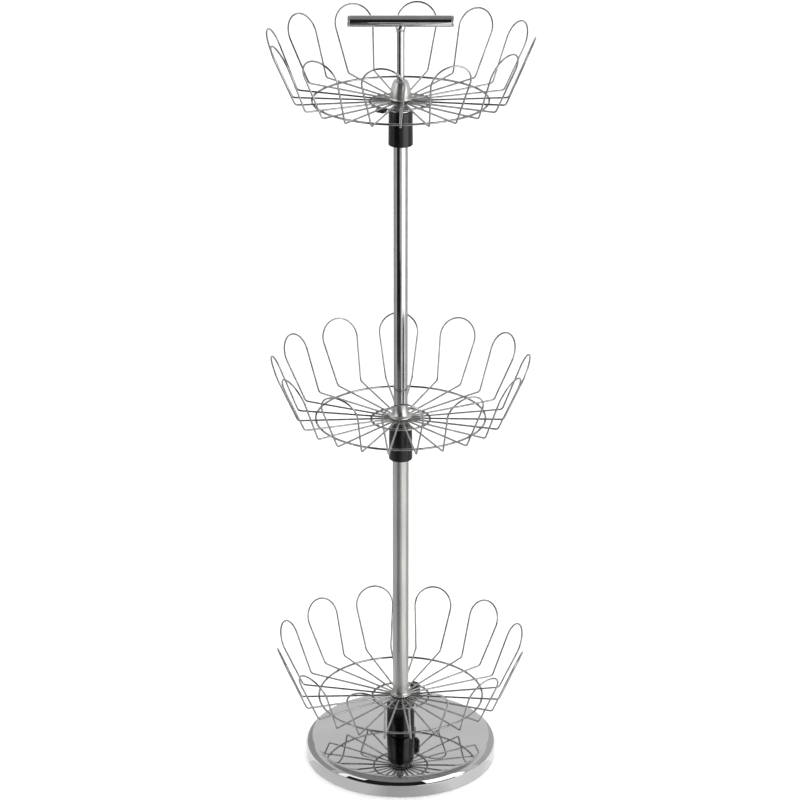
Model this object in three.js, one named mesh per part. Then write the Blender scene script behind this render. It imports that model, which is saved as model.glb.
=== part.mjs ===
// A rotating display rack: a weighted round base, two poles joined by sleeves, a T handle on top,
// and three wire tiers that each spin on the poles. Each tier is a crown of twelve bent wire loops.
// Millimetres, +Z up, the front faces -Y. The origin is on the floor, under the poles.
import * as THREE from 'three';

// The wire tiers. A tier's plane is the height of the spokes' outer ends, where the loops turn up.
// Towards the hub the spokes sink below it, so each tier is a shallow dish.
const TIERS = [
  { name: 'lower', plane: 93, turn: 13.3 },
  { name: 'middle', plane: 511, turn: 1.0 },
  { name: 'upper', plane: 951, turn: -7.6 },
];
const LOOPS_PER_TIER = 12;
const LOOP_WIRE_RADIUS = 1.25;
const WIRE_SIDES = 6;
const SPOKE_START = 11.3;
const SPOKE_RISE = 4;
const CORNER_RADIUS = 138.6;
const CORNER_BEND = 5.5;
const CORNER_BEND_STEPS = 3;
const LOOP_TOP_RADIUS = 172.4;
const LOOP_HEIGHT = 83.8;
const LOOP_ARC_RADIUS = 26.5;
const LOOP_ARC_STEPS = 8;
const RING_WIRE_RADIUS = 1.5;
const OUTER_RING_RADIUS = 114;
const OUTER_RING_SEGMENTS = 36;
const INNER_RING_RADIUS = 39.6;
const INNER_RING_SEGMENTS = 24;

// The stack at each tier: a sleeve, room for a thrust washer, the tier's hub, then a flared collar.
const GAP = 0.3;
const SLEEVE_HEIGHT = 46;
const SLEEVE_TOP_BELOW_PLANE = 17;
const SLEEVE_RADIUS = 16.1;
const LOWER_SLEEVE_RADIUS = 19.6;
const SLEEVE_SOCKET_DEPTH = 25;
const SLEEVE_EDGE = 1.2;
const SLEEVE_SEGMENTS = 24;
const HUB_RADIUS = 11;
const HUB_FOOT_BELOW_SPOKES = 11.2;
const HUB_TOP_ABOVE_SPOKES = 1.3;
const HUB_BORE = 6.4;
const HUB_SEGMENTS = 18;
const SPIGOT_RADIUS = 6;
const SPIGOT_ABOVE_SOCKET = 2;
const COLLAR_RIM_ABOVE_SPOKES = 1.7;
const COLLAR_RIM_THICKNESS = 1;

// The poles, the handle and its rod.
const LOWER_POLE_RADIUS = 11;
const LOWER_COLLAR_RADIUS = 14.2;
const LOWER_COLLAR_HEIGHT = 13;
const UPPER_POLE_RADIUS = 9.5;
const UPPER_COLLAR_RADIUS = 15;
const UPPER_COLLAR_HEIGHT = 19;
const POLE_WALL = 1.5;
const POLE_BELOW_SOCKET = 1;
const POLE_SEGMENTS = 20;
const ROD_RADIUS = 5;
const ROD_SEGMENTS = 16;
const TOP_COLLAR_RADIUS = 14;
const TOP_COLLAR_RIM = 2;
const TOP_COLLAR_HEIGHT = 26;
const TOP_COLLAR_CROWN = 7;
const GRIP_HEIGHT = 1051.3;
const GRIP_RADIUS = 7.5;
const GRIP_WALL = 1.5;
const GRIP_LENGTH = 130;
const CAP_THICKNESS = 2.7;
const CAP_PLUG_LENGTH = 8;
const CAP_EDGE = 0.8;
const FERRULE_RADIUS = 6.5;
const FERRULE_HEIGHT = 5;

// The base: a thin polished cover over a cast weight, on a rubber pad.
const BASE_RADIUS = 133.5;
const BASE_EDGE_HEIGHT = 27;
const BASE_EDGE_ROUND = 12;
const BASE_WALL = 1.5;
const BASE_SEGMENTS = 40;
const WEIGHT_INSIDE_DOME = 1;
const WEIGHT_SEGMENTS = 24;
const COVER_FOOT = 0.6;
const PAD_RADIUS = 130;
const PAD_THICKNESS = 2.7;
const PAD_HOLE = 20;
const PAD_SEGMENTS = 32;
const BOLT_RADIUS = 4;
const BOLT_HEAD_RADIUS = 8;
const BOLT_HEAD_HEIGHT = 5;
const BOLT_RECESS_RADIUS = 12;
const BOLT_RECESS_DEPTH = 6.5;
const BOLT_TOP = 48;
const BOLT_END_ROOM = 2;
const BOLT_SEGMENTS = 16;

const WIRE_STEEL = { color: 0xb9bcc0, roughness: 0.25, metalness: 1 };
const CHROME = { color: 0xd8dadd, roughness: 0.08, metalness: 1 };
const SATIN_CHROME = { color: 0xb4b6b8, roughness: 0.3, metalness: 1 };
const BLACK_PLASTIC = { color: 0x0b0b0c, roughness: 0.3, metalness: 0 };
const DARK_STEEL = { color: 0x4a4947, roughness: 0.45, metalness: 1 };
const CAST_IRON = { color: 0x3a3a3b, roughness: 0.8, metalness: 1 };
const RUBBER = { color: 0x161616, roughness: 0.9, metalness: 0 };

const point = (radius, height) => new THREE.Vector2(radius, height);

function makeMesh(name, geometry, finish) {
  const mesh = new THREE.Mesh(geometry, new THREE.MeshStandardMaterial(finish));
  mesh.name = name;
  return mesh;
}

// A body turned about Z. Its outline runs anticlockwise, with the radius across and the height up.
function turned(name, outline, segments, finish) {
  const geometry = new THREE.LatheGeometry(outline, segments);
  geometry.rotateX(Math.PI / 2);
  return makeMesh(name, geometry, finish);
}

// Points on a quarter-ellipse shoulder: from straight up at `from` to level at `to`.
function shoulder(from, to, steps) {
  return Array.from({ length: steps + 1 }, (_, i) => {
    const angle = (i / steps) * (Math.PI / 2);
    return point(
      to.x + (from.x - to.x) * Math.cos(angle),
      from.y + (to.y - from.y) * Math.sin(angle),
    );
  });
}

// Points on a bell flare: it leaves the rim inward and ends straight up against the pole.
function flare(rim, pole, steps) {
  return Array.from({ length: steps + 1 }, (_, i) => {
    const angle = (i / steps) * (Math.PI / 2);
    return point(
      rim.x - (rim.x - pole.x) * Math.sin(angle),
      pole.y - (pole.y - rim.y) * Math.cos(angle),
    );
  });
}

// ---- wire tiers ----

// A wire's centre line given by its own key points. The wire is mitred at each of them.
class WirePath extends THREE.Curve {
  constructor(keys) {
    super();
    this.keys = keys;
    this.steps = keys.length - 1;
  }

  getPointAt(u, target = new THREE.Vector3()) {
    return target.copy(this.keys[Math.round(u * this.steps)]);
  }

  getTangentAt(u, target = new THREE.Vector3()) {
    const here = Math.round(u * this.steps);
    target.set(0, 0, 0);
    for (const from of [here - 1, here]) {
      if (from < 0 || from >= this.steps) continue;
      target.add(this.keys[from + 1].clone().sub(this.keys[from]).normalize());
    }
    return target.normalize();
  }
}

function wireSection(radius, sides) {
  const corners = Array.from({ length: sides }, (_, i) => {
    const angle = (i / sides) * 2 * Math.PI;
    return point(radius * Math.cos(angle), radius * Math.sin(angle));
  });
  return new THREE.Shape(corners);
}

// Points on the bend of a given radius that replaces a sharp corner.
function bend(before, corner, after, radius, steps) {
  const back = before.clone().sub(corner).normalize();
  const ahead = after.clone().sub(corner).normalize();
  const halfAngle = back.angleTo(ahead) / 2;
  const centre = back.clone().add(ahead).normalize();
  centre.multiplyScalar(radius / Math.sin(halfAngle)).add(corner);
  const start = back.clone().multiplyScalar(radius / Math.tan(halfAngle)).add(corner).sub(centre);
  const axis = ahead.clone().cross(back).normalize();
  return Array.from({ length: steps + 1 }, (_, i) => {
    const angle = (i / steps) * (Math.PI - 2 * halfAngle);
    return start.clone().applyAxisAngle(axis, -angle).add(centre);
  });
}

// Height of a spoke's centre line at a radius, from the tier's plane.
function spokeHeight(radius) {
  return -SPOKE_RISE * ((CORNER_RADIUS - radius) / (CORNER_RADIUS - SPOKE_START));
}

// One loop: a spoke out from the hub, a bend, a leg up and outward, a round top, and back again.
// Its middle faces -Y, and height 0 is the tier's plane.
function loopKeys() {
  const halfPitch = Math.PI / (2 * LOOPS_PER_TIER);
  const halfFoot = CORNER_RADIUS * Math.sin(halfPitch);
  const footRadius = CORNER_RADIUS * Math.cos(halfPitch);
  const slant = new THREE.Vector3(0, footRadius - LOOP_TOP_RADIUS, LOOP_HEIGHT);
  const arcCentreUp = slant.length() - LOOP_ARC_RADIUS;
  slant.normalize();
  const onLoop = (across, up) => slant.clone().multiplyScalar(up).add(
    new THREE.Vector3(across, -footRadius, 0),
  );
  const splay = Math.asin(LOOP_ARC_RADIUS / Math.hypot(halfFoot, arcCentreUp))
    - Math.atan2(halfFoot, arcCentreUp);
  const arc = Array.from({ length: LOOP_ARC_STEPS + 1 }, (_, i) => {
    const angle = Math.PI + splay - (i / LOOP_ARC_STEPS) * (Math.PI + 2 * splay);
    return onLoop(LOOP_ARC_RADIUS * Math.cos(angle),
      arcCentreUp + LOOP_ARC_RADIUS * Math.sin(angle));
  });
  const side = (sign, legTop) => {
    const spoke = new THREE.Vector3(sign * Math.sin(halfPitch), -Math.cos(halfPitch), 0);
    const inner = spoke.clone().multiplyScalar(SPOKE_START).setZ(spokeHeight(SPOKE_START));
    const corner = spoke.clone().multiplyScalar(CORNER_RADIUS);
    return [inner, ...bend(inner, corner, legTop, CORNER_BEND, CORNER_BEND_STEPS)];
  };
  const left = side(-1, arc[0]);
  const right = side(1, arc[LOOP_ARC_STEPS]).reverse();
  return [...left, ...arc, ...right];
}

function loopWire(name) {
  const path = new WirePath(loopKeys());
  const geometry = new THREE.ExtrudeGeometry(wireSection(LOOP_WIRE_RADIUS, WIRE_SIDES), {
    steps: path.steps,
    extrudePath: path,
  });
  return makeMesh(name, geometry, WIRE_STEEL);
}

// A ring of round wire on which the spokes lie.
function supportRing(name, radius, segments) {
  const geometry = new THREE.TorusGeometry(radius, RING_WIRE_RADIUS, WIRE_SIDES, segments);
  const ring = makeMesh(name, geometry, WIRE_STEEL);
  ring.position.z = spokeHeight(radius) - (LOOP_WIRE_RADIUS + RING_WIRE_RADIUS + GAP);
  return ring;
}

function tierHub(name) {
  const foot = -SPOKE_RISE - HUB_FOOT_BELOW_SPOKES;
  const top = -SPOKE_RISE + HUB_TOP_ABOVE_SPOKES;
  return turned(name, [
    point(HUB_BORE, foot),
    point(HUB_RADIUS, foot),
    point(HUB_RADIUS, top),
    point(HUB_BORE, top),
    point(HUB_BORE, foot),
  ], HUB_SEGMENTS, DARK_STEEL);
}

function wireTier({ name, plane, turn }) {
  const tier = new THREE.Group();
  tier.position.z = plane;
  tier.add(tierHub(`${name}_hub`));
  tier.add(supportRing(`${name}_inner_ring`, INNER_RING_RADIUS, INNER_RING_SEGMENTS));
  tier.add(supportRing(`${name}_outer_ring`, OUTER_RING_RADIUS, OUTER_RING_SEGMENTS));
  for (let i = 0; i < LOOPS_PER_TIER; i += 1) {
    const loop = loopWire(`${name}_loop_${String(i + 1).padStart(2, '0')}`);
    loop.rotation.z = THREE.MathUtils.degToRad(turn + (i * 360) / LOOPS_PER_TIER);
    tier.add(loop);
  }
  return tier;
}

// ---- poles and sleeves ----

const sleeveTop = (plane) => plane - SLEEVE_TOP_BELOW_PLANE;
const sleeveFoot = (plane) => sleeveTop(plane) - SLEEVE_HEIGHT;
const socketTop = (plane) => sleeveFoot(plane) + SLEEVE_SOCKET_DEPTH;
const spigotFoot = (plane) => socketTop(plane) + SPIGOT_ABOVE_SOCKET;
const collarRim = (plane) => plane - SPOKE_RISE + COLLAR_RIM_ABOVE_SPOKES;

// A sleeve takes the pole below it in its foot and a spigot from above in its top.
function sleeve(name, plane, radius, socketRadius) {
  const foot = sleeveFoot(plane);
  const top = sleeveTop(plane);
  const bore = SPIGOT_RADIUS + GAP;
  return turned(name, [
    point(socketRadius, foot),
    point(radius - SLEEVE_EDGE, foot),
    point(radius, foot + SLEEVE_EDGE),
    point(radius, top),
    point(bore, top),
    point(bore, socketTop(plane)),
    point(socketRadius, socketTop(plane)),
    point(socketRadius, foot),
  ], SLEEVE_SEGMENTS, BLACK_PLASTIC);
}

function lowerSleeve(plane) {
  const foot = sleeveFoot(plane);
  const bore = SPIGOT_RADIUS + GAP;
  return turned('lower_sleeve', [
    point(bore, foot),
    point(LOWER_SLEEVE_RADIUS - SLEEVE_EDGE, foot),
    point(LOWER_SLEEVE_RADIUS, foot + SLEEVE_EDGE),
    point(LOWER_SLEEVE_RADIUS, sleeveTop(plane)),
    point(bore, sleeveTop(plane)),
    point(bore, foot),
  ], SLEEVE_SEGMENTS, BLACK_PLASTIC);
}

// A tube with a solid flared foot. The foot's spigot runs down through the hub into the sleeve,
// and a hole in the spigot's end takes a bolt where there is one.
function pole(name, spec, finish) {
  const { plane, radius, collarRadius, collarHeight, foot, boltHoleTop, top } = spec;
  const rim = collarRim(plane);
  const collarTop = rim + collarHeight;
  const boltHole = BOLT_RADIUS + GAP;
  const spigotEnd = boltHoleTop
    ? [point(0, boltHoleTop), point(boltHole, boltHoleTop), point(boltHole, foot)]
    : [point(0, foot)];
  return turned(name, [
    ...spigotEnd,
    point(SPIGOT_RADIUS, foot),
    point(SPIGOT_RADIUS, rim),
    point(collarRadius, rim),
    ...flare(point(collarRadius, rim + COLLAR_RIM_THICKNESS), point(radius, collarTop), 4),
    point(radius, top),
    point(radius - POLE_WALL, top),
    point(radius - POLE_WALL, collarTop),
    point(0, collarTop),
  ], POLE_SEGMENTS, finish);
}

// The bell over the upper hub: a plain rim under a quarter ellipse.
function topCollar(plane) {
  const rim = collarRim(plane);
  const bore = ROD_RADIUS + GAP;
  const bellFoot = point(TOP_COLLAR_RADIUS, rim + TOP_COLLAR_RIM);
  return turned('top_collar', [
    point(bore, rim),
    point(TOP_COLLAR_RADIUS, rim),
    ...shoulder(bellFoot, point(TOP_COLLAR_CROWN, rim + TOP_COLLAR_HEIGHT), 5),
    point(bore, rim + TOP_COLLAR_HEIGHT),
    point(bore, rim),
  ], POLE_SEGMENTS, CHROME);
}

// ---- handle ----

const ferruleTop = GRIP_HEIGHT - GRIP_RADIUS - GAP;

// The rod's thick lower part is the spindle on which the upper tier spins.
function handleRod(plane) {
  const spindleTop = collarRim(plane) - GAP;
  return turned('handle_rod', [
    point(0, spigotFoot(plane)),
    point(SPIGOT_RADIUS, spigotFoot(plane)),
    point(SPIGOT_RADIUS, spindleTop),
    point(ROD_RADIUS, spindleTop),
    point(ROD_RADIUS, ferruleTop),
    point(0, ferruleTop),
  ], ROD_SEGMENTS, CHROME);
}

function handleFerrule() {
  const foot = ferruleTop - FERRULE_HEIGHT;
  const bore = ROD_RADIUS + GAP;
  return turned('handle_ferrule', [
    point(bore, foot),
    point(FERRULE_RADIUS, foot),
    point(FERRULE_RADIUS, ferruleTop),
    point(bore, ferruleTop),
    point(bore, foot),
  ], POLE_SEGMENTS, CHROME);
}

// The grip is a tube along X, so its height here is the distance along X from its middle.
function layAlongX(mesh) {
  mesh.rotation.y = Math.PI / 2;
  mesh.position.z = GRIP_HEIGHT;
  return mesh;
}

function handleGrip() {
  const bore = GRIP_RADIUS - GRIP_WALL;
  const end = GRIP_LENGTH / 2;
  return layAlongX(turned('handle_grip', [
    point(bore, -end),
    point(GRIP_RADIUS, -end),
    point(GRIP_RADIUS, end),
    point(bore, end),
    point(bore, -end),
  ], POLE_SEGMENTS, CHROME));
}

function handleCap(name, side) {
  const plug = GRIP_RADIUS - GRIP_WALL - GAP;
  const inner = GRIP_LENGTH / 2 + GAP;
  const cap = layAlongX(turned(name, [
    point(0, inner - CAP_PLUG_LENGTH),
    point(plug, inner - CAP_PLUG_LENGTH),
    point(plug, inner),
    point(GRIP_RADIUS, inner),
    point(GRIP_RADIUS, inner + CAP_THICKNESS - CAP_EDGE),
    point(GRIP_RADIUS - CAP_EDGE, inner + CAP_THICKNESS),
    point(0, inner + CAP_THICKNESS),
  ], POLE_SEGMENTS, CHROME));
  cap.rotation.y = side * (Math.PI / 2);
  return cap;
}

// ---- base ----

// Height of the cover's top face at a radius: a shallow dome from the rounded edge to the sleeve.
const domeFoot = BASE_RADIUS - BASE_EDGE_ROUND;
const domeRise = (baseTop) => baseTop - BASE_EDGE_HEIGHT;

function domeHeight(radius, baseTop) {
  const rise = domeRise(baseTop);
  const sphere = (domeFoot ** 2 + rise ** 2) / (2 * rise);
  return baseTop - sphere + Math.sqrt(sphere ** 2 - radius ** 2);
}

function domePoints(from, to, steps, baseTop, inset) {
  return Array.from({ length: steps + 1 }, (_, i) => {
    const radius = from + (i / steps) * (to - from);
    return point(radius, domeHeight(radius, baseTop) - inset);
  });
}

function baseCover(baseTop) {
  const hole = BOLT_RADIUS + GAP;
  const edgeFoot = BASE_EDGE_HEIGHT - BASE_EDGE_ROUND;
  const inner = BASE_RADIUS - BASE_WALL;
  const innerEdge = shoulder(
    point(inner, edgeFoot),
    point(domeFoot, BASE_EDGE_HEIGHT - BASE_WALL),
    2,
  ).reverse();
  return turned('base_cover', [
    point(inner, COVER_FOOT),
    point(BASE_RADIUS, COVER_FOOT),
    ...shoulder(point(BASE_RADIUS, edgeFoot), point(domeFoot, BASE_EDGE_HEIGHT), 3),
    ...domePoints(domeFoot, hole, 4, baseTop, 0).slice(1),
    ...domePoints(hole, domeFoot, 4, baseTop, BASE_WALL).slice(0, -1),
    ...innerEdge,
    point(inner, COVER_FOOT),
  ], BASE_SEGMENTS, CHROME);
}

function baseWeight(baseTop) {
  const foot = PAD_THICKNESS + GAP;
  const hole = BOLT_RADIUS + GAP;
  const edge = domeFoot - WEIGHT_INSIDE_DOME;
  const inset = BASE_WALL + GAP;
  return turned('base_weight', [
    point(hole, foot + BOLT_RECESS_DEPTH),
    point(BOLT_RECESS_RADIUS, foot + BOLT_RECESS_DEPTH),
    point(BOLT_RECESS_RADIUS, foot),
    point(edge, foot),
    ...domePoints(edge, hole, 4, baseTop, inset),
    point(hole, foot + BOLT_RECESS_DEPTH),
  ], WEIGHT_SEGMENTS, CAST_IRON);
}

function basePad() {
  return turned('base_pad', [
    point(PAD_HOLE, 0),
    point(PAD_RADIUS, 0),
    point(PAD_RADIUS, PAD_THICKNESS),
    point(PAD_HOLE, PAD_THICKNESS),
    point(PAD_HOLE, 0),
  ], PAD_SEGMENTS, RUBBER);
}

// The bolt clamps the weight and the cover up against the lower sleeve.
function baseBolt() {
  const headTop = PAD_THICKNESS + BOLT_RECESS_DEPTH;
  const headFoot = headTop - BOLT_HEAD_HEIGHT;
  return turned('base_bolt', [
    point(0, headFoot),
    point(BOLT_HEAD_RADIUS, headFoot),
    point(BOLT_HEAD_RADIUS, headTop),
    point(BOLT_RADIUS, headTop),
    point(BOLT_RADIUS, BOLT_TOP),
    point(0, BOLT_TOP),
  ], BOLT_SEGMENTS, DARK_STEEL);
}

// ---- the whole rack ----

const [lower, middle, upper] = TIERS;
const baseTop = sleeveFoot(lower.plane) - GAP;

const rack = new THREE.Group();
rack.add(baseCover(baseTop), baseWeight(baseTop), basePad(), baseBolt());
rack.add(lowerSleeve(lower.plane));
rack.add(pole('lower_pole', {
  plane: lower.plane,
  radius: LOWER_POLE_RADIUS,
  collarRadius: LOWER_COLLAR_RADIUS,
  collarHeight: LOWER_COLLAR_HEIGHT,
  foot: baseTop + SPIGOT_ABOVE_SOCKET,
  boltHoleTop: BOLT_TOP + BOLT_END_ROOM,
  top: socketTop(middle.plane) - POLE_BELOW_SOCKET,
}, SATIN_CHROME));
rack.add(sleeve('middle_sleeve', middle.plane, SLEEVE_RADIUS, LOWER_POLE_RADIUS + GAP));
rack.add(pole('upper_pole', {
  plane: middle.plane,
  radius: UPPER_POLE_RADIUS,
  collarRadius: UPPER_COLLAR_RADIUS,
  collarHeight: UPPER_COLLAR_HEIGHT,
  foot: spigotFoot(middle.plane),
  top: socketTop(upper.plane) - POLE_BELOW_SOCKET,
}, CHROME));
rack.add(sleeve('upper_sleeve', upper.plane, SLEEVE_RADIUS, UPPER_POLE_RADIUS + GAP));
rack.add(topCollar(upper.plane), handleRod(upper.plane), handleFerrule());
rack.add(handleGrip(), handleCap('handle_cap_right', 1), handleCap('handle_cap_left', -1));
TIERS.forEach((tier) => rack.add(wireTier(tier)));

export default rack;
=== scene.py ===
"""The looks of a rotating display rack: a mirror-polished base, two poles, three spinning wire tiers.

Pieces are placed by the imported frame's own boxes and vertices, in metres, in the frame's axes.
"""
import math

import bmesh
import bpy
from mathutils import Matrix, Vector


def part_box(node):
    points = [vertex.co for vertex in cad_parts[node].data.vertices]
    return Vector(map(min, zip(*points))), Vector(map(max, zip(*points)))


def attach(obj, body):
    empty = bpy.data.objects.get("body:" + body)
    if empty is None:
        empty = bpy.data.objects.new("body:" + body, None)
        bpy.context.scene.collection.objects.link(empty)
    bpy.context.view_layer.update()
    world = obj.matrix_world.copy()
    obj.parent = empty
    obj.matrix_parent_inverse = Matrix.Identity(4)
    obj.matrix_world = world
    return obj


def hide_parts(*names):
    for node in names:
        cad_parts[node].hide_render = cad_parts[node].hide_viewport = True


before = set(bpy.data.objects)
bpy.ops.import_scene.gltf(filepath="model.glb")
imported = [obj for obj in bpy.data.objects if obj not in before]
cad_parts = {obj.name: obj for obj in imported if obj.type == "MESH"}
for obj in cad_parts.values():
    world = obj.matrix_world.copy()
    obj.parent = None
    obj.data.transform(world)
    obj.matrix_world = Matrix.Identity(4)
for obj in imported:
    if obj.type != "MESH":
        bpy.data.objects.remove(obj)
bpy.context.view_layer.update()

MM = 0.001
TIERS = ("lower", "middle", "upper")
LOOPS_PER_TIER = 12
HALF_PITCH = math.pi / (2 * LOOPS_PER_TIER)

# Wire loops, as the frame's own loops are bent.
LOOP_WIRE = 1.25 * MM
RING_WIRE = 1.5 * MM
SPOKE_START = 11.3 * MM
SPOKE_RISE = 4 * MM
CORNER_RADIUS = 138.6 * MM
CORNER_BEND = 5.5 * MM
LOOP_TOP_RADIUS = 172.4 * MM
LOOP_HEIGHT = 83.8 * MM
LOOP_ARC_RADIUS = 26.5 * MM
WELD_SINK = 0.35 * MM
RING_BEAD = (1.75 * MM, 1.75 * MM, 0.8 * MM)
HUB_BEAD = (1.3 * MM, 1.5 * MM, 1.3 * MM)

# The stack at each tier, measured from the height of its spokes at the hub.
HUB_RADIUS = 11 * MM
HUB_TOP = 1.3 * MM
SPINDLE_RADIUS = 6 * MM
COLLAR_RIM = 1.7 * MM
SPINDLE_CLEARANCE = 6.4 * MM
WASHER_RADIUS = 14.2 * MM
WASHER_TOP = -11.5 * MM
WASHER_THICKNESS = 1.4 * MM

# Collars, the flared foot of each pole and the bell over the upper hub, and the clips' gap.
RIM_LIP = 1.2 * MM
RIM_PROUD = 0.05 * MM
TUBE_WALL = 1.5 * MM
LOWER_POLE_RADIUS = 11 * MM
LOWER_COLLAR_HEIGHT = 13 * MM
UPPER_POLE_RADIUS = 9.5 * MM
UPPER_COLLAR_HEIGHT = 19 * MM
BELL_CROWN_RADIUS = 7 * MM
BELL_BORE = 5.1 * MM
CLIP_GAP = 0.5 * MM

# Handle and base.
ROD_RADIUS = 5 * MM
BASE_EDGE_HEIGHT = 27 * MM
BASE_EDGE_ROUND = 12 * MM
BASE_WALL = 1.5 * MM
BASE_HOLE = 4.3 * MM
PAD_HOLE = 20 * MM

# The middle of a noise pattern's range, where nearly all of its values lie.
PATTERN_START = 0.35
PATTERN_END = 0.65

# Camera: in front of the rack and above it, with a long lens, looking down a little.
CAMERA_DISTANCE = 3.5392
CAMERA_HEIGHT = 1.9399
CAMERA_TILT = 22.2
CAMERA_LENS = 127.8
CAMERA_SHIFT = (-0.0008, 0.032)

# The studio: the light overhead, what wall and ceiling give back, and the cards' sizes in metres.
OVERHEAD_STRENGTH = 3.6
OVERHEAD_SPREAD = 100
WALL_RADIANCE = 0.85
CEILING_RADIANCE = 0.32
DARK_RADIANCE = 0.02
FLANK_RADIANCE = 1.6
ROOM_DISTANCE = 5
ROOM_HEIGHT = 4.6
MAT_HEIGHT = 0.002
MAT_START = 0.25
RIM_MAT_START = 0.134
RIM_MAT_STEP = 3
# (azimuth in degrees, radiance) of the floor just outside the front of the base.
RIM_GLOW = ((-75, 0.85), (-22, 0.85), (-7, 0.56), (5, 0.6), (20, 0.72), (34, 1.05), (75, 1.05))


def hub_plane(tier):
    """Height of a tier's spokes where they meet the hub."""
    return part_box(f"{tier}_hub")[1].z - HUB_TOP


def spoke_height(radius):
    """Height of a spoke's middle above the hub's end of it: the tier is a shallow dish."""
    return SPOKE_RISE * (radius - SPOKE_START) / (CORNER_RADIUS - SPOKE_START)


def loop_turn(node):
    """Azimuth of a loop's middle, 0 facing -Y, from the highest points of its CAD solid."""
    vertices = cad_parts[node].data.vertices
    top = max(v.co.z for v in vertices)
    crown = [v.co for v in vertices if v.co.z > top - 4 * MM]
    middle = sum(crown, Vector()) / len(crown)
    return math.atan2(middle.x, -middle.y)


# ---- mesh tools ----

def finish_mesh(name, mesh, sharp_degrees=38):
    """Turns a bmesh into an object with outward normals, smooth faces and sharp corners."""
    bmesh.ops.recalc_face_normals(mesh, faces=mesh.faces)
    data = bpy.data.meshes.new(name)
    mesh.to_mesh(data)
    mesh.free()
    data.shade_smooth()
    data.set_sharp_from_angle(angle=math.radians(sharp_degrees))
    piece = bpy.data.objects.new(name, data)
    bpy.context.scene.collection.objects.link(piece)
    return piece


def arc(centre, radius, start, end, steps):
    """Points (across, up) on an arc, with its angles in degrees."""
    points = []
    for i in range(steps + 1):
        angle = math.radians(start + (end - start) * i / steps)
        points.append((centre[0] + radius * math.cos(angle), centre[1] + radius * math.sin(angle)))
    return points


def fillet(before, corner, after, radius, steps):
    """Points, in the plane or in space, on the arc that rounds a sharp corner."""
    back = (before - corner).normalized()
    ahead = (after - corner).normalized()
    half = back.angle(ahead) / 2
    centre = corner + (back + ahead).normalized() * (radius / math.sin(half))
    start = corner + back * (radius / math.tan(half)) - centre
    end = corner + ahead * (radius / math.tan(half)) - centre
    sweep = start.angle(end)
    points = []
    for i in range(steps + 1):
        share = i / steps
        blend = start * math.sin((1 - share) * sweep) + end * math.sin(share * sweep)
        points.append(centre + blend / math.sin(sweep))
    return points


def rounded(corners, steps=4):
    """A closed outline from corners (across, up, fillet radius)."""
    places = [Vector(corner[:2]) for corner in corners]
    outline = []
    for i, (place, corner) in enumerate(zip(places, corners)):
        if corner[2] > 0:
            after = places[(i + 1) % len(places)]
            outline += [tuple(p) for p in fillet(places[i - 1], place, after, corner[2], steps)]
        else:
            outline.append(tuple(place))
    return outline


def turned(name, outline, segments=96):
    """A body turned about Z from an outline of (radius, height), closed or from axis to axis."""
    mesh = bmesh.new()
    rings = []
    for radius, height in outline:
        if radius < 1e-9:
            rings.append([mesh.verts.new((0, 0, height))])
            continue
        ring = []
        for i in range(segments):
            angle = 2 * math.pi * i / segments
            ring.append(mesh.verts.new((radius * math.cos(angle), radius * math.sin(angle), height)))
        rings.append(ring)
    on_axis = len(rings[0]) == 1 and len(rings[-1]) == 1
    following = rings[1:] if on_axis else rings[1:] + rings[:1]
    for lower, upper in zip(rings, following):
        for i in range(segments):
            j = (i + 1) % segments
            if len(lower) == 1:
                mesh.faces.new((lower[0], upper[j], upper[i]))
            elif len(upper) == 1:
                mesh.faces.new((lower[i], lower[j], upper[0]))
            else:
                mesh.faces.new((lower[i], lower[j], upper[j], upper[i]))
    return finish_mesh(name, mesh)


def swept(name, keys, radius, sides=14):
    """A round wire along key points, mitred at each, with its ends cut square."""
    mesh = bmesh.new()
    normal = Vector((0, 0, 1))
    rings = []
    for i, key in enumerate(keys):
        into = (key - keys[i - 1]).normalized() if i > 0 else Vector()
        out = (keys[i + 1] - key).normalized() if i < len(keys) - 1 else Vector()
        tangent = (into + out).normalized()
        normal = (normal - tangent * normal.dot(tangent)).normalized()
        side = tangent.cross(normal)
        ring = []
        for k in range(sides):
            angle = 2 * math.pi * k / sides
            offset = normal * math.cos(angle) + side * math.sin(angle)
            ring.append(mesh.verts.new(key + offset * radius))
        rings.append(ring)
    for first, second in zip(rings, rings[1:]):
        for k in range(sides):
            n = (k + 1) % sides
            mesh.faces.new((first[k], first[n], second[n], second[k]))
    mesh.faces.new(rings[0])
    mesh.faces.new(rings[-1])
    return finish_mesh(name, mesh)


# ---- materials ----

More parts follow.
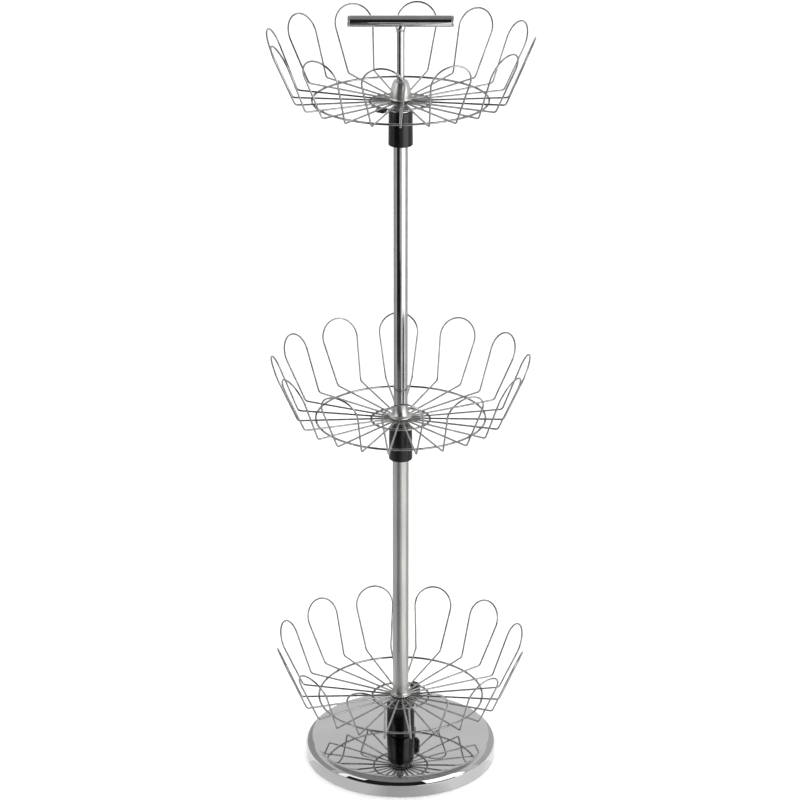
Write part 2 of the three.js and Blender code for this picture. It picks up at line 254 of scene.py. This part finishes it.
class Finish:
    """A material with one Principled shader, and the procedural nodes that feed it."""

    def __init__(self, name, colour, metallic, roughness):
        self.material = bpy.data.materials.new(name)
        self.material.use_nodes = True
        self.nodes = self.material.node_tree.nodes
        self.links = self.material.node_tree.links
        self.shader = self.nodes["Principled BSDF"]
        self.shader.inputs["Metallic"].default_value = metallic
        self.shader.inputs["Roughness"].default_value = roughness
        self.shader.inputs["Base Color"].default_value = (*colour, 1)
        self.material.diffuse_color = (*colour, 1)
        self.height = None

    def noise(self, scale, detail=4.0, stretch=(1, 1, 1)):
        """A noise pattern in the piece's own space. Scale is per metre."""
        place = self.nodes.new("ShaderNodeTexCoord")
        mapping = self.nodes.new("ShaderNodeMapping")
        mapping.inputs["Scale"].default_value = stretch
        pattern = self.nodes.new("ShaderNodeTexNoise")
        pattern.inputs["Scale"].default_value = scale
        pattern.inputs["Detail"].default_value = detail
        self.links.new(place.outputs["Object"], mapping.inputs["Vector"])
        self.links.new(mapping.outputs["Vector"], pattern.inputs["Vector"])
        return pattern.outputs["Fac"]

    def spread(self, pattern, low, high):
        """Maps the middle of a pattern's range onto low to high."""
        node = self.nodes.new("ShaderNodeMapRange")
        node.inputs["From Min"].default_value = PATTERN_START
        node.inputs["From Max"].default_value = PATTERN_END
        node.inputs["To Min"].default_value = low
        node.inputs["To Max"].default_value = high
        self.links.new(pattern, node.inputs["Value"])
        return node.outputs["Result"]

    def colours(self, pattern, low, high):
        """Base colour that runs from low to high with a pattern."""
        ramp = self.nodes.new("ShaderNodeValToRGB")
        ramp.color_ramp.elements[0].position = PATTERN_START
        ramp.color_ramp.elements[0].color = (*low, 1)
        ramp.color_ramp.elements[1].position = PATTERN_END
        ramp.color_ramp.elements[1].color = (*high, 1)
        self.links.new(pattern, ramp.inputs["Fac"])
        self.links.new(ramp.outputs["Color"], self.shader.inputs["Base Color"])

    def roughness(self, pattern, low, high):
        self.links.new(self.spread(pattern, low, high), self.shader.inputs["Roughness"])

    def bump(self, pattern, strength, distance):
        """Adds a layer of relief on top of those already there."""
        node = self.nodes.new("ShaderNodeBump")
        node.inputs["Strength"].default_value = strength
        node.inputs["Distance"].default_value = distance
        self.links.new(pattern, node.inputs["Height"])
        if self.height is not None:
            self.links.new(self.height, node.inputs["Normal"])
        self.height = node.outputs["Normal"]
        self.links.new(self.height, self.shader.inputs["Normal"])


def grey(value, warmth=0.0):
    return (value * (1 + warmth), value, value * (1 - warmth))


def mirror_chrome():
    """Polished plate on the base: nearly a mirror, with faint wiping smears."""
    finish = Finish("mirror_chrome", grey(0.55), 1, 0.03)
    smears = finish.noise(9, 5, (1, 2.5, 1))
    finish.colours(smears, grey(0.53), grey(0.57))
    finish.roughness(finish.noise(35, 6), 0.015, 0.06)
    return finish.material


def bright_chrome():
    """Plated tube: bright, with a trace of the drawing lines along it."""
    finish = Finish("bright_chrome", grey(0.55), 1, 0.07)
    finish.colours(finish.noise(60, 4), grey(0.52), grey(0.58))
    finish.roughness(finish.noise(120, 5, (1, 1, 0.1)), 0.05, 0.11)
    finish.bump(finish.noise(900, 2, (1, 1, 0.02)), 0.04, 0.1 * MM)
    return finish.material


def satin_chrome():
    """Brushed tube: soft reflections, with fine lines along the pole."""
    finish = Finish("satin_chrome", (0.56, 0.555, 0.54), 1, 0.3)
    finish.colours(finish.noise(40, 4, (1, 1, 0.3)), (0.52, 0.515, 0.5), (0.6, 0.595, 0.58))
    finish.roughness(finish.noise(200, 5, (1, 1, 0.06)), 0.25, 0.36)
    finish.bump(finish.noise(1500, 3, (1, 1, 0.015)), 0.12, 0.1 * MM)
    return finish.material


def rim_chrome_painted_highlight():
    """Rolled rims in a much brighter copy of the collars' chrome: a painted highlight that runs all
    round the bead.
    """
    finish = Finish("rim_chrome_painted_highlight", grey(0.95), 1, 0.35)
    finish.colours(finish.noise(80, 4), grey(0.9, 0.02), grey(0.98))
    finish.roughness(finish.noise(300, 4), 0.3, 0.42)
    return finish.material


def wire_chrome_painted_shade():
    """Plated round wire, its colour darkened below the other plating as painted shade for darker
    reflections, with slight thickness changes of the plating.
    """
    finish = Finish("wire_chrome_painted_shade", grey(0.38), 1, 0.05)
    finish.colours(finish.noise(70, 4), grey(0.31, 0.01), grey(0.45))
    finish.roughness(finish.noise(260, 4), 0.03, 0.08)
    finish.bump(finish.noise(1200, 3), 0.05, 0.05 * MM)
    return finish.material


def weld_metal():
    """Weld beads under the plating: lumpy and duller than the wire."""
    finish = Finish("weld_metal", grey(0.5), 1, 0.35)
    finish.colours(finish.noise(500, 4), grey(0.34, 0.03), grey(0.6))
    finish.roughness(finish.noise(700, 4), 0.25, 0.5)
    finish.bump(finish.noise(1400, 4), 0.5, 0.2 * MM)
    return finish.material


def hub_steel():
    """Turned steel of the hubs, dull with oil, with rings left by the tool."""
    finish = Finish("hub_steel", (0.2, 0.185, 0.18), 1, 0.35)
    finish.colours(finish.noise(150, 4, (1, 1, 6)), (0.14, 0.125, 0.12), (0.28, 0.265, 0.26))
    finish.roughness(finish.noise(300, 4), 0.3, 0.5)
    finish.bump(finish.noise(700, 2, (0.05, 0.05, 3)), 0.25, 0.1 * MM)
    return finish.material


def black_plastic():
    """Moulded black plastic: a soft sheen, and the faint ripple of a moulded skin."""
    finish = Finish("black_plastic", grey(0.004), 0, 0.2)
    finish.colours(finish.noise(90, 5), grey(0.003), grey(0.006))
    finish.roughness(finish.noise(180, 5), 0.16, 0.26)
    finish.bump(finish.noise(260, 3), 0.05, 0.2 * MM)
    finish.bump(finish.noise(4000, 2), 0.06, 0.03 * MM)
    finish.shader.inputs["IOR"].default_value = 1.42
    return finish.material


def cast_iron():
    """Rough casting of the weight."""
    finish = Finish("cast_iron", grey(0.12), 1, 0.8)
    finish.colours(finish.noise(80, 6), grey(0.07, 0.05), grey(0.18))
    finish.roughness(finish.noise(300, 5), 0.65, 0.95)
    finish.bump(finish.noise(500, 6), 0.6, 0.6 * MM)
    return finish.material


def pad_rubber():
    """Sheet rubber under the base, with a fine leathery grain."""
    finish = Finish("pad_rubber", grey(0.02), 0, 0.85)
    finish.colours(finish.noise(60, 5), grey(0.014), grey(0.032))
    finish.roughness(finish.noise(400, 5), 0.75, 0.95)
    finish.bump(finish.noise(1800, 4), 0.4, 0.2 * MM)
    return finish.material


def floor_white():
    """Pale seamless floor."""
    finish = Finish("floor_white", grey(0.9), 0, 0.7)
    finish.colours(finish.noise(0.8, 3), grey(0.89), grey(0.91))
    return finish.material


MATERIALS = {
    build.__name__: build()
    for build in (mirror_chrome, bright_chrome, satin_chrome, rim_chrome_painted_highlight, wire_chrome_painted_shade, weld_metal,
                  hub_steel, black_plastic, cast_iron, pad_rubber, floor_white)
}


def dress(piece, body, material, slot, *nodes):
    """Gives a piece its material and its body, and hides the CAD nodes that it stands for."""
    piece.data.materials.clear()
    piece.data.materials.append(MATERIALS[material])
    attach(piece, body)
    if nodes:
        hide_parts(*nodes)


# ---- wire tiers ----

def loop_keys():
    """Centre line of one loop whose middle faces -Y, with height 0 at the hub's end of the spokes."""
    half_foot = CORNER_RADIUS * math.sin(HALF_PITCH)
    foot_radius = CORNER_RADIUS * math.cos(HALF_PITCH)
    slant = Vector((0, foot_radius - LOOP_TOP_RADIUS, LOOP_HEIGHT))
    arc_up = slant.length - LOOP_ARC_RADIUS
    slant.normalize()
    foot = Vector((0, -foot_radius, SPOKE_RISE))
    splay = math.asin(LOOP_ARC_RADIUS / math.hypot(half_foot, arc_up))
    splay -= math.atan2(half_foot, arc_up)
    top = []
    for across, up in arc((0, arc_up), LOOP_ARC_RADIUS, 180 + math.degrees(splay),
                          -math.degrees(splay), 32):
        top.append(foot + Vector((across, 0, 0)) + slant * up)
    sides = []
    for sign, leg_top in ((-1, top[0]), (1, top[-1])):
        spoke = Vector((sign * math.sin(HALF_PITCH), -math.cos(HALF_PITCH), 0))
        inner = spoke * (HUB_RADIUS - WELD_SINK)
        corner = spoke * CORNER_RADIUS + Vector((0, 0, SPOKE_RISE))
        sides.append([inner] + fillet(inner, corner, leg_top, CORNER_BEND, 8))
    return sides[0] + top + sides[1][::-1]


def support_ring(name, radius):
    centre = (radius, 0)
    return turned(name, arc(centre, RING_WIRE, 0, 360, 14)[:-1], 180)


def weld_beads(name, crossings):
    """Flattened lumps at each (point, azimuth, size): one closed lump for each weld."""
    mesh = bmesh.new()
    for point, azimuth, size in crossings:
        place = Matrix.Translation(point) @ Matrix.Rotation(azimuth, 4, "Z")
        squash = Matrix.Diagonal((*size, 1))
        bmesh.ops.create_uvsphere(mesh, u_segments=12, v_segments=7, radius=1, matrix=place @ squash)
    return finish_mesh(name, mesh, 80)


def tier_hub(tier, plane):
    """The turned hub: a boss that carries the spokes, a neck, and two flanges above the washer."""
    bore = SPINDLE_CLEARANCE / MM
    corners = [
        (bore, -11.2, 0.2), (13.0, -11.2, 0.3), (13.0, -9.9, 0.3), (9.6, -9.6, 0.2),
        (9.6, -8.8, 0.2), (10.6, -8.6, 0.3), (10.6, -7.6, 0.3), (8.4, -7.2, 0.5),
        (8.4, -2.6, 0.6), (11.0, -2.0, 0.3), (11.0, 1.3, 0.3), (bore, 1.3, 0.2),
    ]
    outline = [tuple(value * MM for value in corner) for corner in corners]
    hub = turned(f"{tier}_hub_turned", rounded(outline, 3), 72)
    hub.location.z = plane
    return hub


def build_tier(tier, loop_mesh):
    plane = hub_plane(tier)
    body = f"{tier}_tier"
    spokes = []
    for i in range(LOOPS_PER_TIER):
        node = f"{tier}_loop_{i + 1:02d}"
        turn = loop_turn(node)
        data = loop_mesh.copy()
        data.transform(Matrix.Translation((0, 0, plane)) @ Matrix.Rotation(turn, 4, "Z"))
        loop = bpy.data.objects.new(f"{node}_wire", data)
        bpy.context.scene.collection.objects.link(loop)
        # Loops take the darkened wire plating, which paints shade into their reflections.
        dress(loop, body, "wire_chrome_painted_shade", "wire_steel", node)
        spokes += [turn - HALF_PITCH, turn + HALF_PITCH]

    beads = []
    for which in ("inner", "outer"):
        node = f"{tier}_{which}_ring"
        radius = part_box(node)[1].x - RING_WIRE
        touch = plane + spoke_height(radius) - LOOP_WIRE
        ring = support_ring(f"{node}_wire", radius)
        ring.location.z = touch - RING_WIRE + WELD_SINK
        dress(ring, body, "wire_chrome_painted_shade", "wire_steel", node)
        for azimuth in spokes:
            point = Vector((radius * math.sin(azimuth), -radius * math.cos(azimuth), touch))
            beads.append((point, azimuth, RING_BEAD))
    for azimuth in spokes:
        radius = HUB_RADIUS + 0.2 * MM
        point = Vector((radius * math.sin(azimuth), -radius * math.cos(azimuth), plane - 0.3 * MM))
        beads.append((point, azimuth, HUB_BEAD))
    dress(weld_beads(f"{tier}_welds", beads), body, "weld_metal", "wire_steel")
    dress(tier_hub(tier, plane), body, "hub_steel", "hub_steel", f"{tier}_hub")


def build_tiers():
    loop = swept("loop_pattern", loop_keys(), LOOP_WIRE)
    loop_mesh = loop.data
    bpy.data.objects.remove(loop)
    for tier in TIERS:
        build_tier(tier, loop_mesh)
    build_clip("upper", math.radians(-34), 45 * MM, (14 * MM, 9 * MM, 4.5 * MM))
    build_clip("lower", math.radians(152), 44 * MM, (14 * MM, 11 * MM, 28 * MM))


# ---- stand ----

def build_sleeve(tier):
    """A black sleeve with softened edges and a slight draft, and the washer on top of it."""
    low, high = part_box(f"{tier}_sleeve")
    radius = high.x
    plane = hub_plane(tier)
    bore = SPINDLE_CLEARANCE - 0.1 * MM
    sleeve = turned(f"{tier}_sleeve_moulded", rounded([
        (bore, low.z, 0.1 * MM),
        (radius, low.z, 1.4 * MM),
        (radius - 0.5 * MM, high.z, 0.9 * MM),
        (bore, high.z, 0.1 * MM),
    ], 6), 120)
    dress(sleeve, "stand", "black_plastic", "sleeve_black", f"{tier}_sleeve")
    top = plane + WASHER_TOP
    washer = turned(f"{tier}_washer", rounded([
        (bore, top - WASHER_THICKNESS, 0.1 * MM),
        (WASHER_RADIUS, top - WASHER_THICKNESS, 0.3 * MM),
        (WASHER_RADIUS, top, 0.3 * MM),
        (bore, top, 0.1 * MM),
    ], 3), 96)
    dress(washer, "stand", "bright_chrome", "pole_chrome")


def build_clip(tier, azimuth, distance, size):
    """A small black moulded clip on the inner ring. Its size is across, along the radius, and up."""
    mesh = bmesh.new()
    bmesh.ops.create_cube(mesh, size=1)
    bmesh.ops.scale(mesh, vec=size, verts=mesh.verts)
    bmesh.ops.bevel(mesh, geom=mesh.edges[:], offset=min(size) * 0.3, segments=5, affect="EDGES")
    clip = finish_mesh(f"{tier}_clip", mesh, 50)
    clip.rotation_euler.z = azimuth
    clip.location = (distance * math.sin(azimuth), -distance * math.cos(azimuth),
                     hub_plane(tier) + spoke_height(distance) - LOOP_WIRE - CLIP_GAP - size[2] / 2)
    dress(clip, f"{tier}_tier", "black_plastic", "sleeve_black")


def flare(rim, pole, steps=12):
    """Bell flare from (radius, height) at the rim to the pole, an ellipse's quarter."""
    points = []
    for i in range(steps + 1):
        angle = math.pi / 2 * i / steps
        points.append((rim[0] - (rim[0] - pole[0]) * math.sin(angle),
                       pole[1] - (pole[1] - rim[1]) * math.cos(angle)))
    return points


def build_rim(name, radius, height, slot):
    """The rolled bead at a collar's foot, standing a little proud of the collar."""
    centre = (radius - RIM_LIP, height + RIM_LIP)
    ring = turned(f"{name}_rim", arc(centre, RIM_LIP + RIM_PROUD, 0, 360, 20)[:-1], 120)
    # The rim takes a brighter copy of the collar's chrome: a painted highlight.
    dress(ring, "stand", "rim_chrome_painted_highlight", slot)


def build_pole(name, tier, radius, collar_height, material, slot):
    """A tube with a satin bell flare and a rolled rim at its foot, and a spigot below."""
    low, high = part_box(name)
    rim_radius = high.x - RIM_PROUD
    rim = hub_plane(tier) + COLLAR_RIM
    collar_top = rim + collar_height
    collar = [(0, low.z), (SPINDLE_RADIUS, low.z), (SPINDLE_RADIUS, rim), (rim_radius - RIM_LIP, rim)]
    collar += arc((rim_radius - RIM_LIP, rim + RIM_LIP), RIM_LIP, -80, 20, 6)
    collar += flare((rim_radius - 0.2 * MM, rim + 2 * RIM_LIP), (radius, collar_top))
    collar += [(0, collar_top)]
    dress(turned(f"{name}_collar", collar, 96), "stand", "satin_chrome", slot)
    bore = radius - TUBE_WALL
    tube = [(0, collar_top), (radius, collar_top), (radius, high.z), (bore, high.z),
            (bore, collar_top + TUBE_WALL), (0, collar_top + TUBE_WALL)]
    dress(turned(f"{name}_tube", tube, 96), "stand", material, slot, name)
    build_rim(name, rim_radius, rim, slot)


def build_top_collar():
    """The bell over the upper hub: a rolled rim, then a quarter ellipse up to a flat crown."""
    low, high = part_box("top_collar")
    rim_radius = high.x - RIM_PROUD
    outline = [(BELL_BORE, low.z), (rim_radius - RIM_LIP, low.z)]
    outline += arc((rim_radius - RIM_LIP, low.z + RIM_LIP), RIM_LIP, -80, 30, 7)
    foot = low.z + 2.2 * RIM_LIP
    waist = rim_radius - 0.5 * MM
    for i in range(25):
        angle = math.radians(85 * i / 24)
        outline.append((BELL_CROWN_RADIUS + (waist - BELL_CROWN_RADIUS) * math.cos(angle),
                        foot + (high.z - foot) * math.sin(angle)))
    outline += [(BELL_CROWN_RADIUS, high.z), (BELL_BORE, high.z)]
    bell = turned("top_collar_bell", outline, 96)
    dress(bell, "stand", "satin_chrome", "pole_chrome", "top_collar")
    build_rim("top_collar", rim_radius, low.z + RIM_PROUD, "pole_chrome")


def build_handle():
    """Rod, ferrule with a rounded bead, and the tube grip with its two end caps."""
    low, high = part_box("handle_rod")
    spindle_top = hub_plane("upper") + HUB_TOP
    rod = turned("handle_rod_turned", [
        (0, low.z), (SPINDLE_RADIUS, low.z), (SPINDLE_RADIUS, spindle_top),
        (ROD_RADIUS, spindle_top), (ROD_RADIUS, high.z), (0, high.z),
    ], 64)
    dress(rod, "stand", "bright_chrome", "handle_chrome", "handle_rod")

    low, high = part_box("handle_ferrule")
    bead = high.x
    middle = high.z - 0.5 * MM
    outline = [(0, low.z - 1.5 * MM), (5.6 * MM, low.z - 1.5 * MM), (5.6 * MM, middle - 4.6 * MM)]
    outline += [(bead * math.cos(a), middle + bead * math.sin(a))
                for a in (math.radians(-44 + 5 * i) for i in range(23))]
    outline += [(0, middle + bead * math.sin(math.radians(70)))]
    dress(turned("handle_ferrule_bead", outline, 64), "stand", "bright_chrome", "handle_chrome",
          "handle_ferrule")

    low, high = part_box("handle_grip")
    radius = (high.z - low.z) / 2
    along_x = Matrix.Translation((0, 0, (low.z + high.z) / 2)) @ Matrix.Rotation(math.pi / 2, 4, "Y")
    end = high.x
    tube = turned("handle_grip_tube", rounded([
        (radius - TUBE_WALL, -end, 0.2 * MM), (radius, -end, 0.4 * MM),
        (radius, end, 0.4 * MM), (radius - TUBE_WALL, end, 0.2 * MM),
    ], 3), 96)
    tube.data.transform(along_x)
    dress(tube, "stand", "bright_chrome", "handle_chrome", "handle_grip")

    for side, sign in (("right", 1), ("left", -1)):
        node = f"handle_cap_{side}"
        reach = max(abs(c) for c in (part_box(node)[0].x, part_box(node)[1].x))
        plug = radius - 1.8 * MM
        joint = end + 0.25 * MM
        cap = turned(f"{node}_turned", [
            (0, joint - 8 * MM), (plug, joint - 8 * MM), (plug, joint), (radius - 0.5 * MM, joint),
        ] + arc((radius - 0.5 * MM, joint + 0.5 * MM), 0.5 * MM, -70, 0, 4)
            + arc((radius - 1.9 * MM, reach - 1.9 * MM), 1.9 * MM, 0, 88, 9)
            + [(radius - 3.4 * MM, reach - 0.05 * MM), (0, reach - 0.05 * MM)], 96)
        cap.data.transform(Matrix.Diagonal((sign, 1, 1, 1)) @ along_x)
        if sign < 0:
            cap.data.flip_normals()
        dress(cap, "stand", "bright_chrome", "handle_chrome", node)


def build_base():
    """The polished cover: a low dome, a rounded edge and a straight side; then what is under it."""
    low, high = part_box("base_cover")
    radius, top = high.x, high.z
    foot = radius - BASE_EDGE_ROUND
    rise = top - BASE_EDGE_HEIGHT
    sphere = (foot ** 2 + rise ** 2) / (2 * rise)

    def dome(inset, start, end, steps):
        points = []
        for i in range(steps + 1):
            across = start + (end - start) * i / steps
            height = top - sphere + math.sqrt(sphere ** 2 - across ** 2) - inset
            points.append((across, height))
        return points

    slope = math.degrees(math.asin(foot / sphere))
    edge_centre = (foot, BASE_EDGE_HEIGHT - BASE_EDGE_ROUND)
    outline = [(radius - BASE_WALL, low.z)]
    outline += arc((radius - 0.5 * MM, low.z + 0.5 * MM), 0.5 * MM, -80, 0, 4)
    outline += arc(edge_centre, BASE_EDGE_ROUND, 0, 90 - slope, 24)
    outline += dome(0, foot, BASE_HOLE, 48)[1:]
    outline += dome(BASE_WALL, BASE_HOLE, foot, 12)[:-1]
    outline += arc(edge_centre, BASE_EDGE_ROUND - BASE_WALL, 90, 0, 6)
    cover = turned("base_cover_polished", outline, 256)
    dress(cover, "stand", "mirror_chrome", "base_chrome", "base_cover")

    low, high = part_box("base_pad")
    pad = turned("base_pad_moulded", rounded([
        (PAD_HOLE, low.z, 0.5 * MM), (high.x, low.z, 0.8 * MM),
        (high.x, high.z, 0.2 * MM), (PAD_HOLE, high.z, 0.2 * MM),
    ], 3), 160)
    dress(pad, "stand", "pad_rubber", "pad_rubber", "base_pad")
    for node, material in (("base_weight", "cast_iron"), ("base_bolt", "hub_steel")):
        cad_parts[node].data.materials.clear()
        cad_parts[node].data.materials.append(MATERIALS[material])


def build_stand():
    build_base()
    for tier in TIERS:
        build_sleeve(tier)
    build_pole("lower_pole", "lower", LOWER_POLE_RADIUS, LOWER_COLLAR_HEIGHT,
               "satin_chrome", "pole_satin")
    build_pole("upper_pole", "middle", UPPER_POLE_RADIUS, UPPER_COLLAR_HEIGHT,
               "bright_chrome", "pole_chrome")
    build_top_collar()
    build_handle()


# ---- studio ----

def build_camera():
    data = bpy.data.cameras.new("camera")
    data.lens = CAMERA_LENS
    data.sensor_width = 36
    data.shift_x, data.shift_y = CAMERA_SHIFT
    data.clip_end = 100
    camera = bpy.data.objects.new("camera", data)
    bpy.context.scene.collection.objects.link(camera)
    tilt = Matrix.Rotation(math.radians(90 - CAMERA_TILT), 4, "X")
    camera.matrix_world = Matrix.Translation((0, -CAMERA_DISTANCE, CAMERA_HEIGHT)) @ tilt
    bpy.context.scene.camera = camera


def build_floor():
    mesh = bmesh.new()
    bmesh.ops.create_grid(mesh, x_segments=8, y_segments=8, size=20)
    floor = finish_mesh("floor", mesh)
    floor.data.materials.append(MATERIALS["floor_white"])


def card(name, azimuths, rim, radiance, steps=24):
    """A curved card round the rack that only reflections show: upright, or lying on the floor.

    Azimuths are in degrees, 0 facing -Y. The rim is the (distance, height) of each long edge.
    """
    mesh = bmesh.new()
    rows = []
    for distance, height in rim:
        row = []
        for i in range(steps + 1):
            azimuth = math.radians(azimuths[0] + (azimuths[1] - azimuths[0]) * i / steps)
            row.append(mesh.verts.new((distance * math.sin(azimuth), -distance * math.cos(azimuth),
                                       height)))
        rows.append(row)
    for i in range(steps):
        mesh.faces.new((rows[0][i], rows[0][i + 1], rows[1][i + 1], rows[1][i]))
    piece = finish_mesh(name, mesh)
    material = bpy.data.materials.new(name)
    material.use_nodes = True
    material.node_tree.nodes.clear()
    glow = material.node_tree.nodes.new("ShaderNodeEmission")
    glow.inputs["Strength"].default_value = radiance
    output = material.node_tree.nodes.new("ShaderNodeOutputMaterial")
    material.node_tree.links.new(glow.outputs["Emission"], output.inputs["Surface"])
    piece.data.materials.append(material)
    piece.visible_camera = False
    piece.visible_diffuse = False
    piece.visible_shadow = False


def rim_glow(azimuth):
    """Radiance of the floor just outside the base, which its upright side mirrors."""
    for (start, low), (end, high) in zip(RIM_GLOW, RIM_GLOW[1:]):
        if start <= azimuth <= end:
            return low + (high - low) * (azimuth - start) / (end - start)


def build_cards():
    """What the polish mirrors: a dark room in front, white flanks, cards at the sides, floor mats."""
    room = ((ROOM_DISTANCE, 0), (ROOM_DISTANCE, ROOM_HEIGHT))
    card("dark_room", (-44, 44), room, DARK_RADIANCE)
    card("flank_left", (-75, -44), room, FLANK_RADIANCE)
    card("flank_right", (44, 75), room, FLANK_RADIANCE)
    card("black_card", (-62, -12), ((1.5, 0), (1.5, 0.745)), DARK_RADIANCE)
    card("black_card_low", (-12, 1), ((1.5, 0), (1.5, 0.23)), DARK_RADIANCE)
    card("dark_mat_near", (-55, -12), ((MAT_START, MAT_HEIGHT), (0.62, MAT_HEIGHT)), 0.22)
    card("dark_mat", (-55, -12), ((0.62, MAT_HEIGHT), (1.5, MAT_HEIGHT)), 0.22)
    card("dark_mat_far", (-12, 1), ((1.1, MAT_HEIGHT), (1.5, MAT_HEIGHT)), 0.05)
    card("front_mat", (-12, 16), ((MAT_START, MAT_HEIGHT / 2), (ROOM_DISTANCE, MAT_HEIGHT / 2)), 0.6)
    card("right_mat", (16, 80), ((MAT_START, MAT_HEIGHT), (1.2, MAT_HEIGHT)), 1.3)
    card("back_mat", (80, 305), ((MAT_START, MAT_HEIGHT), (ROOM_DISTANCE, MAT_HEIGHT)), 0.58)
    rim_edges = ((RIM_MAT_START, MAT_HEIGHT / 2), (MAT_START, MAT_HEIGHT / 2))
    for azimuth in range(-75, 75, RIM_MAT_STEP):
        glow = rim_glow(azimuth + RIM_MAT_STEP / 2)
        card(f"rim_mat_{azimuth}", (azimuth, azimuth + RIM_MAT_STEP), rim_edges, glow, 2)
    card("right_box", (28, 76), ((1.2, 0.23), (1.2, 1.3)), 2.6)
    card("right_skirt", (28, 62), ((1.2, 0), (1.2, 0.23)), 0.1)
    card("grey_card_left", (-160, -82), ((1.3, 0), (1.3, 0.8)), 0.45)
    card("grey_card_right", (96, 160), ((1.3, 0), (1.3, 0.8)), 0.62)


def build_world():
    """A plain studio: bright wall behind the rack, dim ceiling, dark room behind the camera."""
    world = bpy.data.worlds.new("studio")
    world.use_nodes = True
    bpy.context.scene.world = world
    nodes, links = world.node_tree.nodes, world.node_tree.links
    direction = nodes.new("ShaderNodeTexCoord")
    parts = nodes.new("ShaderNodeSeparateXYZ")
    links.new(direction.outputs["Generated"], parts.inputs["Vector"])

    def rise(source, start, end, low, high):
        node = nodes.new("ShaderNodeMapRange")
        node.interpolation_type = "SMOOTHSTEP"
        node.inputs["From Min"].default_value = start
        node.inputs["From Max"].default_value = end
        node.inputs["To Min"].default_value = low
        node.inputs["To Max"].default_value = high
        links.new(source, node.inputs["Value"])
        return node.outputs["Result"]

    wall = rise(parts.outputs["Y"], -0.75, 0.1, 0.0, WALL_RADIANCE)
    lift = rise(parts.outputs["Z"], 0.64, 0.8, 0.0, 1.0)
    mixed = nodes.new("ShaderNodeMix")
    mixed.data_type = "FLOAT"
    links.new(lift, mixed.inputs[0])
    links.new(wall, mixed.inputs[2])
    mixed.inputs[3].default_value = CEILING_RADIANCE
    room = nodes["Background"]
    links.new(mixed.outputs[0], room.inputs["Strength"])
    room.inputs["Color"].default_value = (1, 1, 1, 1)

    seen = nodes.new("ShaderNodeLightPath")
    backdrop = nodes.new("ShaderNodeBackground")
    choice = nodes.new("ShaderNodeMixShader")
    links.new(seen.outputs["Is Camera Ray"], choice.inputs[0])
    links.new(room.outputs["Background"], choice.inputs[1])
    links.new(backdrop.outputs["Background"], choice.inputs[2])
    backdrop.inputs["Color"].default_value = (1, 1, 1, 1)
    links.new(choice.outputs["Shader"], nodes["World Output"].inputs["Surface"])


def build_studio():
    build_floor()
    build_cards()
    build_world()
    sky = bpy.data.lights.new("overhead", "SUN")
    sky.energy = OVERHEAD_STRENGTH
    sky.angle = math.radians(OVERHEAD_SPREAD)
    sky.use_shadow = False
    overhead = bpy.data.objects.new("overhead", sky)
    bpy.context.scene.collection.objects.link(overhead)
    overhead.rotation_euler = (math.radians(-20), math.radians(8), 0)
    overhead.visible_glossy = False
    bpy.context.scene.view_settings.view_transform = "Standard"


build_camera()
build_tiers()
build_stand()
build_studio()
